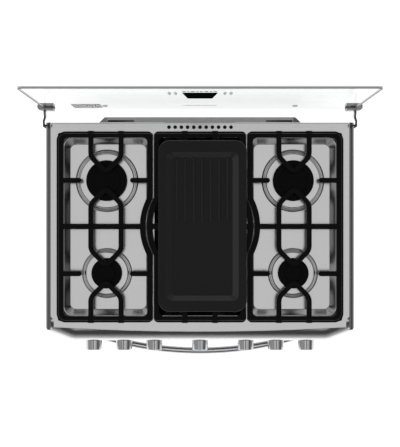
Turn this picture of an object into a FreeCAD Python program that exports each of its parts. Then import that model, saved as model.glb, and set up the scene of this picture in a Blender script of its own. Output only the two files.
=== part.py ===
import FreeCAD, Part
import math
import os

os.makedirs("parts", exist_ok=True)
V = FreeCAD.Vector

# ---------------------------------------------------------------------------
# Free-standing gas range with a raised glass lid.  Millimetres.
# X to the right, -Y towards the cook, +Z up, floor at Z = 0.
# ---------------------------------------------------------------------------

# Cooktop
Z_TOP = 900.0                 # flat of the cooktop
TOP_HALF_W = 368.2            # flat, without the rolled side trims
BODY_HALF_W = 381.0           # over the side trims: a 30 inch range
TOP_REAR = 273.1
TOP_FRONT_CORNER = -232.4     # the front edge bows from here ...
TOP_FRONT_MID = -243.0        # ... to here
SHEET = 1.5
TOP_SKIRT = 28.0
BASIN_DEPTH = 12.0
BASIN_Y = (-203.0, 234.7)
BASINS = ((-335.4, -118.0), (-112.0, 112.0), (118.0, 335.4))
BASIN_SLOPE = 15.0
BASIN_R = 22.0
VENTS, VENT_PITCH, VENT_R, VENT_Y = 11, 15.3, 4.5, 261.4
VENT_NOTCH = 87.5             # half width of the cut in the rear lip behind them

# Burners: x, y, large
BURNER_X = 230.0
BURNER_REAR, BURNER_FRONT = 129.5, -98.9
BURNERS = [(-BURNER_X, BURNER_REAR, True), (-BURNER_X, BURNER_FRONT, False),
           (0.0, BURNER_REAR, True), (0.0, BURNER_FRONT, False),
           (BURNER_X, BURNER_REAR, True), (BURNER_X, BURNER_FRONT, False)]
#        cap r, step r, head r, base r, upper step r, lower step r
LARGE = (50.25, 33.0, 44.0, 38.0, 66.0, 77.5)
SMALL = (37.5, 21.0, 32.0, 26.0, 51.0, 62.0)
PLATEAU = 6.0                 # both steps together
STEP = 3.0
Z_FLOOR = Z_TOP - BASIN_DEPTH
Z_PLATEAU = Z_FLOOR + PLATEAU
Z_HEAD = Z_PLATEAU + 2.0
Z_CAP = Z_HEAD + 7.0

# Grates
GRATE_TOP = 928.0
BAR_H = 14.0
FINGER_H = 10.0
GRATE_Y = (-218.0, 249.0)
GRATE_OUT_X = 350.65
SIDE_BAR_W, END_BAR_W, INNER_BAR_W, FINGER_W = 16.5, 14.6, 13.0, 12.0
SIDE_GRATE_IN_X = 116.0
CENTRE_GRATE_X = 112.9
BULGE_Y = (-53.0, 86.0)
MID_Y = 16.5
FINGER_HALF = 37.0
APEX = 20.5                   # corner of the pointed loop, before rounding
SHOULDER = 57.5

# Griddle
GRID_X = (-101.6, 114.0)
GRID_Y = (-190.4, 226.2)
GRID_Z = (928.0, 942.0)
GRID_R = 27.0
RIB_X0, RIB_PITCH, RIBS = -56.3, 20.75, 7
RIB_Y = (31.7, 181.8)

# Front panel and knobs
NOSE_Y = -267.0
NOSE_A, NOSE_B = 37.0, 24.0
NOSE_Z = 874.0                # centre height of the nose's ellipse
NOSE_LIP = 871.0
PANEL_SEAM = 869.9            # the fascia ends and the nose begins
FASCIA_BACK = 7.0             # fascia stands behind the nose by this
PANEL_Z0 = 785.0
PANEL_REAR = -213.4
KNOB_X = (-266.0, -190.0, -114.0, 0.0, 114.0, 190.0, 266.0)
KNOB_Z = 848.0
KNOB_FRONT, KNOB_BACK = -292.7, -264.0
KNOB_R0, KNOB_R1 = 20.75, 19.6
STEM_R, RUN = 4.0, 0.05       # stem radius, running clearance on the radius
STEM_TIP, STEM_END = -281.0, -228.0
BORE_END = -286.0

# Oven, door, drawer
FRONT = -213.0                # front plane of the carcass
DOOR_FACE = -255.0
DOOR_Z = (215.0, 775.0)
DOOR_HALF_W = 373.0
HINGE_Y, HINGE_Z = -240.0, 225.0
CAV_X, CAV_Y1, CAV_Z = 290.0, 215.0, (287.0, 700.0)
RACK_Z = 505.7
HANDLE_Z, HANDLE_R, HANDLE_FRONT, HANDLE_BOW = 750.0, 8.75, -314.5, 896.0
DRAWER_Z = (62.0, 203.0)

# Lid
PIVOT_Y, PIVOT_Z = 265.0, 908.0
PIN_R = 2.2
GLASS_Y = (302.3, 308.3)
GLASS_Z = (932.0, 1394.0)
GLASS_HALF_W = 378.0
CLIP_Y = (298.0, 314.5)
CLIP_X = (353.8, 392.7)
CLIP_Z = (924.0, 966.0)

# Carcass
BASE_Z = 40.0
BACK_Y = (268.0, 270.0)
REAR_BULGE = 291.0
FEET = ((-330.0, -170.0), (330.0, -170.0), (-330.0, 225.0), (330.0, 225.0))


# ------------------------------------------------------------------ helpers
def box(x0, x1, y0, y1, z0, z1):
    return Part.makeBox(x1 - x0, y1 - y0, z1 - z0, V(x0, y0, z0))


def cyl(r, p, d, h):
    return Part.makeCylinder(r, h, V(*p), V(*d))


def fuse(shapes):
    out = shapes[0]
    if len(shapes) > 1:
        out = out.multiFuse(shapes[1:])
    return out.removeSplitter()


def cut(a, tools):
    return a.cut(tools[0] if len(tools) == 1 else Part.makeCompound(tools))


def flip(shape):
    return shape.mirror(V(0, 0, 0), V(1, 0, 0))


def both(shape):
    return Part.makeCompound([shape, flip(shape)])


def save(node, shape):
    if shape.ShapeType != "Compound" and len(shape.Solids) == 1:
        shape = shape.Solids[0]
    elif len(shape.Solids) == 1:
        shape = shape.Solids[0]
    else:
        shape = Part.makeCompound(shape.Solids)
    shape.exportStep("parts/%s.step" % node)


def rr_wire(x0, x1, y0, y1, z, r):
    """Rounded rectangle, corner radii from (x0,y0) anticlockwise."""
    if not isinstance(r, (tuple, list)):
        r = (r, r, r, r)
    a, b, c, d = r
    k = math.sqrt(0.5)
    e = []

    def seg(p, q):
        if (V(*q) - V(*p)).Length > 1e-6:
            e.append(Part.LineSegment(V(*p), V(*q)).toShape())

    def arc(p, m, q):
        e.append(Part.Arc(V(*p), V(*m), V(*q)).toShape())

    seg((x0 + a, y0, z), (x1 - b, y0, z))
    arc((x1 - b, y0, z), (x1 - b + b * k, y0 + b - b * k, z), (x1, y0 + b, z))
    seg((x1, y0 + b, z), (x1, y1 - c, z))
    arc((x1, y1 - c, z), (x1 - c + c * k, y1 - c + c * k, z), (x1 - c, y1, z))
    seg((x1 - c, y1, z), (x0 + d, y1, z))
    arc((x0 + d, y1, z), (x0 + d - d * k, y1 - d + d * k, z), (x0, y1 - d, z))
    seg((x0, y1 - d, z), (x0, y0 + a, z))
    arc((x0, y0 + a, z), (x0 + a - a * k, y0 + a - a * k, z), (x0 + a, y0, z))
    return Part.Wire(e)


def rr_prism(x0, x1, y0, y1, z0, z1, r):
    return Part.Face(rr_wire(x0, x1, y0, y1, z0, r)).extrude(V(0, 0, z1 - z0))


def prism(points, direction, length):
    pts = [V(*p) for p in points]
    return Part.Face(Part.makePolygon(pts + [pts[0]])).extrude(V(*direction) * length)


def bar(p, q, w, z0, z1):
    """Straight bar in plan from p to q."""
    dx, dy = q[0] - p[0], q[1] - p[1]
    n = math.hypot(dx, dy)
    ux, uy = -dy / n * w / 2, dx / n * w / 2
    return prism([(p[0] + ux, p[1] + uy, z0), (q[0] + ux, q[1] + uy, z0),
                  (q[0] - ux, q[1] - uy, z0), (p[0] - ux, p[1] - uy, z0)],
                 (0, 0, 1), z1 - z0)


def sector(c, r, a0, a1, w, z0, z1):
    """Curved bar: centre, centreline radius, angles in radians."""
    am = (a0 + a1) / 2
    ro, ri = r + w / 2, r - w / 2

    def p(rad, a):
        return V(c[0] + rad * math.cos(a), c[1] + rad * math.sin(a), z0)

    if ri > 1e-3:
        e = [Part.Arc(p(ro, a0), p(ro, am), p(ro, a1)).toShape(),
             Part.LineSegment(p(ro, a1), p(ri, a1)).toShape(),
             Part.Arc(p(ri, a1), p(ri, am), p(ri, a0)).toShape(),
             Part.LineSegment(p(ri, a0), p(ro, a0)).toShape()]
    else:
        e = [Part.Arc(p(ro, a0), p(ro, am), p(ro, a1)).toShape(),
             Part.LineSegment(p(ro, a1), V(c[0], c[1], z0)).toShape(),
             Part.LineSegment(V(c[0], c[1], z0), p(ro, a0)).toShape()]
    return Part.Face(Part.Wire(e)).extrude(V(0, 0, z1 - z0))


def path_bar(points, radii, w, z0, z1, cap0=True, cap1=True):
    """Bar along a polyline whose inner corners are rounded on the given radii."""
    pieces = []
    start = points[0]
    for i in range(1, len(points) - 1):
        p, q, s = start, points[i], points[i + 1]
        r = radii[i - 1]
        ux, uy = q[0] - p[0], q[1] - p[1]
        n = math.hypot(ux, uy)
        ux, uy = ux / n, uy / n
        vx, vy = s[0] - q[0], s[1] - q[1]
        m = math.hypot(vx, vy)
        vx, vy = vx / m, vy / m
        turn = math.atan2(ux * vy - uy * vx, ux * vx + uy * vy)
        t = r * math.tan(abs(turn) / 2)
        t0 = (q[0] - ux * t, q[1] - uy * t)
        t1 = (q[0] + vx * t, q[1] + vy * t)
        side = 1 if turn > 0 else -1
        c = (t0[0] - uy * r * side, t0[1] + ux * r * side)
        a0 = math.atan2(t0[1] - c[1], t0[0] - c[0])
        a1 = a0 + turn
        if math.hypot(t0[0] - p[0], t0[1] - p[1]) > 0.05:
            pieces.append(bar(p, t0, w, z0, z1))
        pieces.append(sector(c, r, a0, a1, w, z0, z1))
        start = t1
    pieces.append(bar(start, points[-1], w, z0, z1))
    if cap0:
        pieces.append(cyl(w / 2, (points[0][0], points[0][1], z0), (0, 0, 1), z1 - z0))
    if cap1:
        pieces.append(cyl(w / 2, (points[-1][0], points[-1][1], z0), (0, 0, 1), z1 - z0))
    return pieces


def tube(points, r):
    """Bent round tube along a 3-D polyline, with ball corners."""
    pieces = []
    for i in range(len(points) - 1):
        p, q = V(*points[i]), V(*points[i + 1])
        pieces.append(Part.makeCylinder(r, (q - p).Length, p, q - p))
        if i:
            pieces.append(Part.makeSphere(r, p))
    return fuse(pieces)


def picked(shape, r, test):
    edges = [e for e in shape.Edges if test(e)]
    return shape.makeFillet(r, edges)


# ------------------------------------------------------------------ cooktop
def top_outline(grow, z):
    """Plan of the cooktop flat; front corners notched, front edge bowed."""
    x, g = TOP_HALF_W + grow, grow
    yc, ym = TOP_FRONT_CORNER - g, TOP_FRONT_MID - g
    nx = 360.5 + g
    e = [Part.LineSegment(V(x, TOP_REAR + g, z), V(-x, TOP_REAR + g, z)).toShape(),
         Part.LineSegment(V(-x, TOP_REAR + g, z), V(-x, -205, z)).toShape(),
         Part.LineSegment(V(-x, -205, z), V(-nx, -216, z)).toShape(),
         Part.LineSegment(V(-nx, -216, z), V(-nx, yc, z)).toShape(),
         Part.Arc(V(-nx, yc, z), V(0, ym, z), V(nx, yc, z)).toShape(),
         Part.LineSegment(V(nx, yc, z), V(nx, -216, z)).toShape(),
         Part.LineSegment(V(nx, -216, z), V(x, -205, z)).toShape(),
         Part.LineSegment(V(x, -205, z), V(x, TOP_REAR + g, z)).toShape()]
    return Part.Face(Part.Wire(e))


def pressing(drop, shrink):
    """Solid whose top is the cooktop surface lowered by drop."""
    z = Z_TOP - drop
    body = top_outline(-shrink, z - TOP_SKIRT).extrude(V(0, 0, TOP_SKIRT))
    wells = []
    for x0, x1 in BASINS:
        s = BASIN_SLOPE
        up = rr_wire(x0, x1, BASIN_Y[0], BASIN_Y[1], z, BASIN_R)
        low = rr_wire(x0 + s, x1 - s, BASIN_Y[0] + s, BASIN_Y[1] - s,
                      z - BASIN_DEPTH, BASIN_R - 8)
        wells.append(Part.makeLoft([up, low], True, True))
    body = cut(body, wells)
    cones = []
    for bx, by, large in BURNERS:
        d = LARGE if large else SMALL
        for k, r in enumerate((d[5], d[4] + 2.0)):
            cones.append(Part.makeCone(r + 1.0 / 3, r - 2.0, STEP + 0.5,
                                       V(bx, by, z - BASIN_DEPTH - 0.5 + k * STEP)))
    body = body.multiFuse(cones)
    zf = z - BASIN_DEPTH

    def rim(e):
        b = e.BoundBox
        return (b.ZLength < 1e-4 and abs(b.ZMax - z) < 1e-4
                and abs(b.XMin) < 345 and abs(b.XMax) < 345
                and b.YMin > -210 and b.YMax < 240)

    def floor(e):
        b = e.BoundBox
        return b.ZLength < 1e-4 and abs(b.ZMax - zf) < 1e-4 and not round_edge(e)

    def round_edge(e):
        return isinstance(e.Curve, Part.Circle) and e.Curve.Radius > 40

    body = picked(body, 3.0, rim)
    body = picked(body, 2.2, floor)

    def crown(e):
        h = e.BoundBox.ZMax - zf
        return round_edge(e) and e.BoundBox.ZLength < 1e-3 and (
            abs(h - PLATEAU) < 1e-3 or (abs(h - STEP) < 1e-3 and
                                        min(abs(e.Curve.Radius - d[5] + 2) for d in (LARGE, SMALL))
                                        < 1e-3))

    return picked(body, 0.9, crown)


upper = pressing(0.0, 0.0)
upper = picked(upper, 1.2, lambda e: e.BoundBox.ZLength < 1e-4
               and abs(e.BoundBox.ZMax - Z_TOP) < 1e-4
               and e.BoundBox.YMax < TOP_FRONT_CORNER + 1e-3)
upper = picked(upper, 2.6, lambda e: e.BoundBox.ZLength < 1e-4
               and abs(e.BoundBox.ZMax - Z_TOP) < 1e-4
               and abs(e.BoundBox.YMin - TOP_REAR) < 1e-3)
under = pressing(SHEET, SHEET)
cooktop = upper.cut(under)
holes = []
for i in range(VENTS):
    holes.append(cyl(VENT_R, ((i - (VENTS - 1) / 2.0) * VENT_PITCH, VENT_Y, Z_TOP - 20),
                     (0, 0, 1), 40))
for bx, by, large in BURNERS:
    holes.append(cyl((LARGE if large else SMALL)[3] + 1.0, (bx, by, 870), (0, 0, 1), 60))
holes.append(box(-VENT_NOTCH, VENT_NOTCH, TOP_REAR - 2.8, TOP_REAR + 5, Z_TOP - 12, Z_TOP + 5))
cooktop = cut(cooktop, holes)
save("cooktop", cooktop)

# Rolled trims along both sides of the cooktop
R_TRIM = BODY_HALF_W - TOP_HALF_W


def side_trim():
    t = 1.8
    x0, zc = TOP_HALF_W + 0.2, Z_TOP - R_TRIM
    ro = BODY_HALF_W - x0
    ri = ro - t
    k = math.sqrt(0.5)
    y = -238.5
    p = [V(x0, y, zc + ro), V(x0 + ro * k, y, zc + ro * k), V(BODY_HALF_W, y, zc),
         V(BODY_HALF_W, y, 862), V(BODY_HALF_W - t, y, 862), V(BODY_HALF_W - t, y, zc),
         V(x0 + ri * k, y, zc + ri * k), V(x0, y, zc + ri)]
    e = [Part.Arc(p[0], p[1], p[2]).toShape(), Part.LineSegment(p[2], p[3]).toShape(),
         Part.LineSegment(p[3], p[4]).toShape(), Part.LineSegment(p[4], p[5]).toShape(),
         Part.Arc(p[5], p[6], p[7]).toShape(), Part.LineSegment(p[7], p[0]).toShape()]
    s = Part.Face(Part.Wire(e)).extrude(V(0, TOP_REAR + 238.5, 0))
    # the front end is rounded in plan
    corner = box(x0 + 2, 390, -250, -238.5 + 9, 850, 905).cut(
        Part.makeCylinder(11.0, 60, V(BODY_HALF_W - 11, -238.5 + 9, 848)).fuse(
            box(x0 - 5, BODY_HALF_W - 11, -260, -225, 840, 910)))
    return s.cut(corner)


trim = side_trim()
save("side_trims", both(trim))


# -------------------------------------------------------------- front panel
def nose_prism(offset, t, origin, angle):
    """Endless extrusion of the nose profile, turned by angle in plan.

    n is the distance out from the nose's outermost line."""
    a, b = NOSE_A - t, NOSE_B - t
    zc = NOSE_Z

    def p(n, z):
        return V(0, -n, z)

    e0 = p(-NOSE_A, zc + b)
    pts = []
    steps = 3
    ell = []
    for i in range(steps * 4 + 1):
        th = math.pi / 2 * (1 - i / float(steps * 4))
        ell.append(p(-NOSE_A + a * math.cos(th), zc + b * math.sin(th)))
    curve = Part.BSplineCurve()
    curve.interpolate(ell)
    fb = -FASCIA_BACK - t
    rest = [p(-t, min(NOSE_LIP + 2 + t * 0.6, zc - 0.2)), p(fb, NOSE_LIP - 1 + t),
            p(fb, PANEL_Z0 + t),
            p(-900, PANEL_Z0 + t), p(-900, zc + b), e0]
    edges = [curve.toShape()]
    last = ell[-1]
    for q in rest:
        if (q - last).Length > 1e-6:
            edges.append(Part.LineSegment(last, q).toShape())
        last = q
    face = Part.Face(Part.Wire(edges))
    face.translate(V(-900, 0, 0))
    solid = face.extrude(V(1800, 0, 0))
    solid.rotate(V(0, 0, 0), V(0, 0, 1), angle)
    solid.translate(V(origin[0], origin[1], 0))
    return solid


def panel_solid(t):
    s = nose_prism(0, t, (0, NOSE_Y), 0)
    for x, y, a in ((311.0, NOSE_Y, 10.6), (322.0, -265.0, 20.7)):
        s = s.common(nose_prism(0, t, (x, y), a))
        s = s.common(nose_prism(0, t, (-x, y), -a))
    half = 380.0 - t
    return s.common(box(-half, half, -300, PANEL_REAR, 700, 950))


panel = panel_solid(0.0)
inner = panel_solid(2.0)
inner = inner.fuse(inner.translated(V(0, 8, 0)))
panel = panel.cut(inner)
gap = top_outline(0.5, 840).extrude(V(0, 0, 100))
panel = panel.cut(gap)
side_gap = box(TOP_HALF_W - 0.5, 400, -239.3, -200, 850, 920)
panel = cut(panel, [side_gap, flip(side_gap)])
panel = cut(panel, [cyl(6.0, (x, -280, KNOB_Z), (0, 1, 0), 60) for x in KNOB_X])
panel = max(panel.Solids, key=lambda s: s.Volume)
# two pressings: the fascia with the knobs, and the rolled nose above it
fascia = panel.common(box(-400, 400, -300, -200, 700, PANEL_SEAM - 0.05))
nose = panel.common(box(-400, 400, -300, -200, PANEL_SEAM, 950))
save("control_panel", Part.makeCompound([fascia, nose]))


# -------------------------------------------------------- knobs and valves
def knob(x, short):
    prof = [(0.0, KNOB_FRONT), (KNOB_R1 - 1.6, KNOB_FRONT), (KNOB_R1, KNOB_FRONT + 1.6),
            (KNOB_R0 - 0.3, KNOB_BACK - 3.0), (KNOB_R0, KNOB_BACK - 2.6),
            (KNOB_R0, KNOB_BACK), (0.0, KNOB_BACK)]
    w = Part.makePolygon([V(x + r, y, KNOB_Z) for r, y in prof] +
                         [V(x + prof[0][0], prof[0][1], KNOB_Z)])
    s = Part.Face(w).revolve(V(x, 0, KNOB_Z), V(0, 1, 0), 360)
    # shallow dished front face
    s = s.cut(Part.makeCone(KNOB_R1 - 3.2, KNOB_R1 - 4.6, 0.9, V(x, KNOB_FRONT, KNOB_Z),
                            V(0, 1, 0)))
    bore = cyl(STEM_R + RUN, (x, BORE_END, KNOB_Z), (0, 1, 0), 30)
    bore = bore.cut(box(x - 10, x + 10, -300, -250, KNOB_Z + 3.0, KNOB_Z + 10))
    s = s.cut(bore)
    # pointer groove at twelve o'clock, along the top and down the face
    y1 = KNOB_BACK - 14 if short else KNOB_BACK - 4
    s = s.cut(box(x - 0.9, x + 0.9, KNOB_FRONT - 2, y1, KNOB_Z + KNOB_R1 - 1.1, KNOB_Z + 25))
    s = s.cut(box(x - 0.9, x + 0.9, KNOB_FRONT - 2, KNOB_FRONT + 1.9,
                  KNOB_Z + (10 if short else 5), KNOB_Z + 25))
    return s


def stem(x):
    s = cyl(STEM_R, (x, STEM_TIP, KNOB_Z), (0, 1, 0), STEM_END - STEM_TIP)
    return s.cut(box(x - 10, x + 10, STEM_TIP - 1, -258, KNOB_Z + 2.95, KNOB_Z + 10))


for i, x in enumerate(KNOB_X):
    save("knob_%d" % (i + 1), knob(x, i == 6))
    save("stem_%d" % (i + 1), stem(x))

MANI_Y = -192.0
valves = []
for i, x in enumerate(KNOB_X):
    wide = 15.0 if i == 6 else 12.5
    v = box(x - wide, x + wide, -246, -210, KNOB_Z - 13, KNOB_Z + 13)
    v = picked(v, 2.0, lambda e: e.BoundBox.YLength > 30)
    v = v.fuse([cyl(9.0, (x, -250.5, KNOB_Z), (0, 1, 0), 6),
                cyl(5.0, (x, -211, KNOB_Z), (0, 1, 0), 12)])
    v = v.cut(cyl(STEM_R + RUN, (x, -252, KNOB_Z), (0, 1, 0), 25))
    valves.append(v.removeSplitter())
save("gas_valves", Part.makeCompound(valves))

# Gas manifold: pipe across behind the valves, then to the inlet at the back
INLET_X, INLET_Z, DROP_Y = 345.0, 400.0, 250.0
outer = fuse([cyl(10, (-300, MANI_Y, KNOB_Z), (1, 0, 0), 300 + INLET_X),
              Part.makeSphere(10, V(INLET_X, MANI_Y, KNOB_Z)),
              cyl(10, (INLET_X, MANI_Y, KNOB_Z), (0, 1, 0), DROP_Y - MANI_Y),
              Part.makeSphere(10, V(INLET_X, DROP_Y, KNOB_Z)),
              cyl(10, (INLET_X, DROP_Y, INLET_Z), (0, 0, 1), KNOB_Z - INLET_Z),
              Part.makeSphere(10, V(INLET_X, DROP_Y, INLET_Z)),
              cyl(10, (INLET_X, DROP_Y, INLET_Z), (0, 1, 0), 300 - DROP_Y),
              cyl(13, (INLET_X, 272.0, INLET_Z), (0, 1, 0), 8)])
bores = [cyl(8, (-296, MANI_Y, KNOB_Z), (1, 0, 0), 296 + INLET_X),
         Part.makeSphere(8, V(INLET_X, MANI_Y, KNOB_Z)),
         cyl(8, (INLET_X, MANI_Y, KNOB_Z), (0, 1, 0), DROP_Y - MANI_Y),
         Part.makeSphere(8, V(INLET_X, DROP_Y, KNOB_Z)),
         cyl(8, (INLET_X, DROP_Y, INLET_Z), (0, 0, 1), KNOB_Z - INLET_Z),
         Part.makeSphere(8, V(INLET_X, DROP_Y, INLET_Z)),
         cyl(8, (INLET_X, DROP_Y, INLET_Z), (0, 1, 0), 310 - DROP_Y)]
bores += [cyl(5.0 + RUN, (x, -215, KNOB_Z), (0, 1, 0), 20) for x in KNOB_X]
manifold = cut(outer, bores)
# two lengths that meet in the drop, a hairline apart
UNION_Z = KNOB_Z - 30.0
save("gas_manifold", Part.makeCompound([
    manifold.common(box(-400, 400, -300, 400, UNION_Z + 0.05, KNOB_Z + 60)),
    manifold.common(box(-400, 400, -300, 400, INLET_Z - 60, UNION_Z))]))

# Aluminium tubes from the valves to the burners and to the oven burner
pairs = [(0, 0, -262), (1, 1, -215), (2, 2, -33), (3, 3, 0), (4, 4, 201), (5, 5, 215)]
tubes = []
for k, b, xe in pairs:
    bx, by, large = BURNERS[b]
    base_r = (LARGE if large else SMALL)[3]
    ye = by if b in (0, 2, 4) else by - base_r - 0.2
    if b in (0, 2, 4):
        side = -1 if b in (0, 2, 4) else 1
        xe = bx - base_r - 0.3
        end = (xe, ye, 868)
        pts = [(KNOB_X[k], -222, KNOB_Z + 13), (KNOB_X[k], -222, 868),
               (xe - 12 if b else xe - 8, ye - 30, 868), (xe - 8, ye, 868), end]
    else:
        pts = [(KNOB_X[k], -222, KNOB_Z + 13), (KNOB_X[k], -222, 868),
               (bx, ye - 25, 868), (bx, ye, 868)]
    tubes.append(tube(pts, 3.5))
# the oven's supply: a riser down the right side, then a run to the oven burner
tubes.append(tube([(266, -222, KNOB_Z - 13), (266, -222, 795), (343, -190, 795),
                   (343, -190, 251.05)], 4.0))
tubes.append(tube([(343, -190, 251), (343, -190, 245), (0, -150, 245), (0, -150, 293.4)], 4.0))
save("burner_tubes", Part.makeCompound(tubes))


# ------------------------------------------------------------------ burners
def revolve(points, cx, cy):
    w = Part.makePolygon([V(cx + r, cy, z) for r, z in points + [points[0]]])
    return Part.Face(w).revolve(V(cx, cy, 0), V(0, 0, 1), 360)


def burner_base(cx, cy, d):
    rb = d[3]
    return revolve([(9, 858), (rb - 6, 858), (rb, 866), (rb, Z_PLATEAU), (rb + 4, Z_PLATEAU),
                    (rb + 4, Z_HEAD), (rb - 3, Z_HEAD), (rb - 3, 870), (rb - 9, 862), (14, 862),
                    (14, 884), (9, 884)], cx, cy)


def burner_head(cx, cy, d, slots):
    rh = d[2]
    s = revolve([(10, Z_HEAD), (rh - 2, Z_HEAD), (rh, Z_HEAD + 1.5), (rh, Z_CAP - 0.6),
                 (rh - 0.6, Z_CAP), (10, Z_CAP)], 0, 0)
    cuts = []
    for i in range(slots):
        b = box(rh - 7, rh + 3, -1.1, 1.1, Z_HEAD + 2.6, Z_CAP + 1)
        b.rotate(V(0, 0, 0), V(0, 0, 1), 360.0 / slots * (i + 0.5))
        cuts.append(b)
    return cut(s, cuts).translated(V(cx, cy, 0))


def burner_cap(cx, cy, d):
    rc, rs = d[0], d[1]
    return revolve([(0, Z_CAP - 4), (9, Z_CAP - 4), (9, Z_CAP), (rc - 0.8, Z_CAP), (rc, Z_CAP + 0.8),
                    (rc, Z_CAP + 2.8), (rc - 1.4, Z_CAP + 4.0), (rs + 1.2, Z_CAP + 4.0),
                    (rs, Z_CAP + 5.2), (rs - 1.2, Z_CAP + 5.6), (0, Z_CAP + 5.6)], cx, cy)


save("burner_bases", Part.makeCompound([burner_base(x, y, LARGE if g else SMALL)
                                        for x, y, g in BURNERS]))
save("burner_heads", Part.makeCompound([burner_head(x, y, LARGE if g else SMALL, 36 if g else 28)
                                        for x, y, g in BURNERS]))
save("burner_caps", Part.makeCompound([burner_cap(x, y, LARGE if g else SMALL)
                                       for x, y, g in BURNERS]))


# ------------------------------------------------------------------- grates
def loops(cx, z0, z1):
    """Pointed finger loops over one pair of burners, front and rear."""
    out = []
    for by in (BURNER_REAR, BURNER_FRONT):
        for sgn in (1, -1):
            far = {(BURNER_REAR, 1): GRATE_Y[1] - 8, (BURNER_REAR, -1): MID_Y,
                   (BURNER_FRONT, 1): MID_Y, (BURNER_FRONT, -1): GRATE_Y[0] + 8}[(by, sgn)]
            pts = [(cx - FINGER_HALF, far), (cx - FINGER_HALF, by + sgn * SHOULDER),
                   (cx, by + sgn * APEX), (cx + FINGER_HALF, by + sgn * SHOULDER),
                   (cx + FINGER_HALF, far)]
            out += path_bar(pts, (26.0, 10.0, 26.0), FINGER_W, z0, z1, False, False)
    return out


def bulge(xe, xm, w, z0, z1):
    """Bowed part of an inner side bar, from plan x xe out to xm and back."""
    half = (BULGE_Y[1] - BULGE_Y[0]) / 2.0
    sag = abs(xm - xe)
    r = (half * half + sag * sag) / (2 * sag)
    ym = (BULGE_Y[0] + BULGE_Y[1]) / 2.0
    sgn = 1 if xm > xe else -1
    c = (xm - sgn * r, ym)
    a = math.asin(half / r)
    mid = 0.0 if sgn > 0 else math.pi
    return [sector(c, r, mid - a, mid + a, w, z0, z1),
            cyl(w / 2, (xe, BULGE_Y[0], z0), (0, 0, 1), z1 - z0),
            cyl(w / 2, (xe, BULGE_Y[1], z0), (0, 0, 1), z1 - z0)]


def feet_of(xs, ys):
    return [Part.makeCone(4.2, 5.5, GRATE_TOP - BAR_H - Z_TOP + 1, V(x, y, Z_TOP))
            for x in xs for y in ys]


FOOT_Y = (GRATE_Y[0] + 8.0, GRATE_Y[1] - 8.0)


def soften(shape, r, z):
    """Round the outline edges that lie on the top plane."""
    edges = [e for e in shape.Edges if e.BoundBox.ZLength < 1e-4
             and abs(e.BoundBox.ZMax - z) < 1e-4]
    return shape.makeFillet(r, edges)


EDGE_IN, EDGE_DROP = 4.2, 1.5   # the frame's outer edge is set down by this


def stepped(x0, x1, in0, in1, r):
    """Solid plan of a grate frame; its outer edges step down outside the bars' crown."""
    y0, y1 = GRATE_Y
    z0, z1 = GRATE_TOP - BAR_H, GRATE_TOP
    s = rr_prism(x0, x1, y0, y1, z0, z1 - EDGE_DROP, r)
    a, b = EDGE_IN, EDGE_IN + EDGE_DROP
    low = rr_wire(x0 + in0 * a, x1 - in1 * a, y0 + a, y1 - a, z1 - EDGE_DROP,
                  tuple(q - a for q in r))
    top = rr_wire(x0 + in0 * b, x1 - in1 * b, y0 + b, y1 - b, z1, tuple(q - b for q in r))
    return s.fuse(Part.makeLoft([low, top], True, True))


def side_grate():
    """The left-hand grate."""
    z0, z1 = GRATE_TOP - BAR_H, GRATE_TOP
    xo, xi = -GRATE_OUT_X, -SIDE_GRATE_IN_X
    ring = stepped(xo, xi, 1.0, 0.15, (22, 11, 11, 22))
    ring = ring.cut(rr_prism(xo + SIDE_BAR_W, xi - INNER_BAR_W, GRATE_Y[0] + END_BAR_W,
                             GRATE_Y[1] - END_BAR_W, z0 - 1, z1 + 1, 12))
    xb = xi - INNER_BAR_W / 2
    ring = ring.cut(box(xi - INNER_BAR_W - 2, xi + 5, BULGE_Y[0], BULGE_Y[1], z0 - 1, z1 + 1))
    zf = GRATE_TOP - FINGER_H
    parts = [ring] + bulge(xb, -140.6, INNER_BAR_W, z0, z1)
    parts += loops(-BURNER_X, zf, z1)
    parts.append(bar((xo + 8, MID_Y), (-141.5, MID_Y), INNER_BAR_W, zf, z1))
    for by in (BURNER_REAR, BURNER_FRONT):
        parts += path_bar([(xo + 8, by), (-BURNER_X - 66, by)], (), FINGER_W, zf, z1, False, True)
        parts += path_bar([(xb, by), (-BURNER_X + 65, by)], (), FINGER_W, zf, z1, False, True)
    for s in (-1, 1):
        parts.append(box(-BURNER_X + s * FINGER_HALF - 7, -BURNER_X + s * FINGER_HALF + 7,
                         GRATE_Y[1] - 8, GRATE_Y[1] + 1.4, z0, z1 - 0.3))
        parts.append(box(-BURNER_X + s * FINGER_HALF - 7, -BURNER_X + s * FINGER_HALF + 7,
                         GRATE_Y[0] - 1.4, GRATE_Y[0] + 8, z0, z1 - 0.3))
    parts += feet_of((xo + SIDE_BAR_W / 2 - 1, xi - 5), FOOT_Y)
    return fuse(parts)


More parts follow.
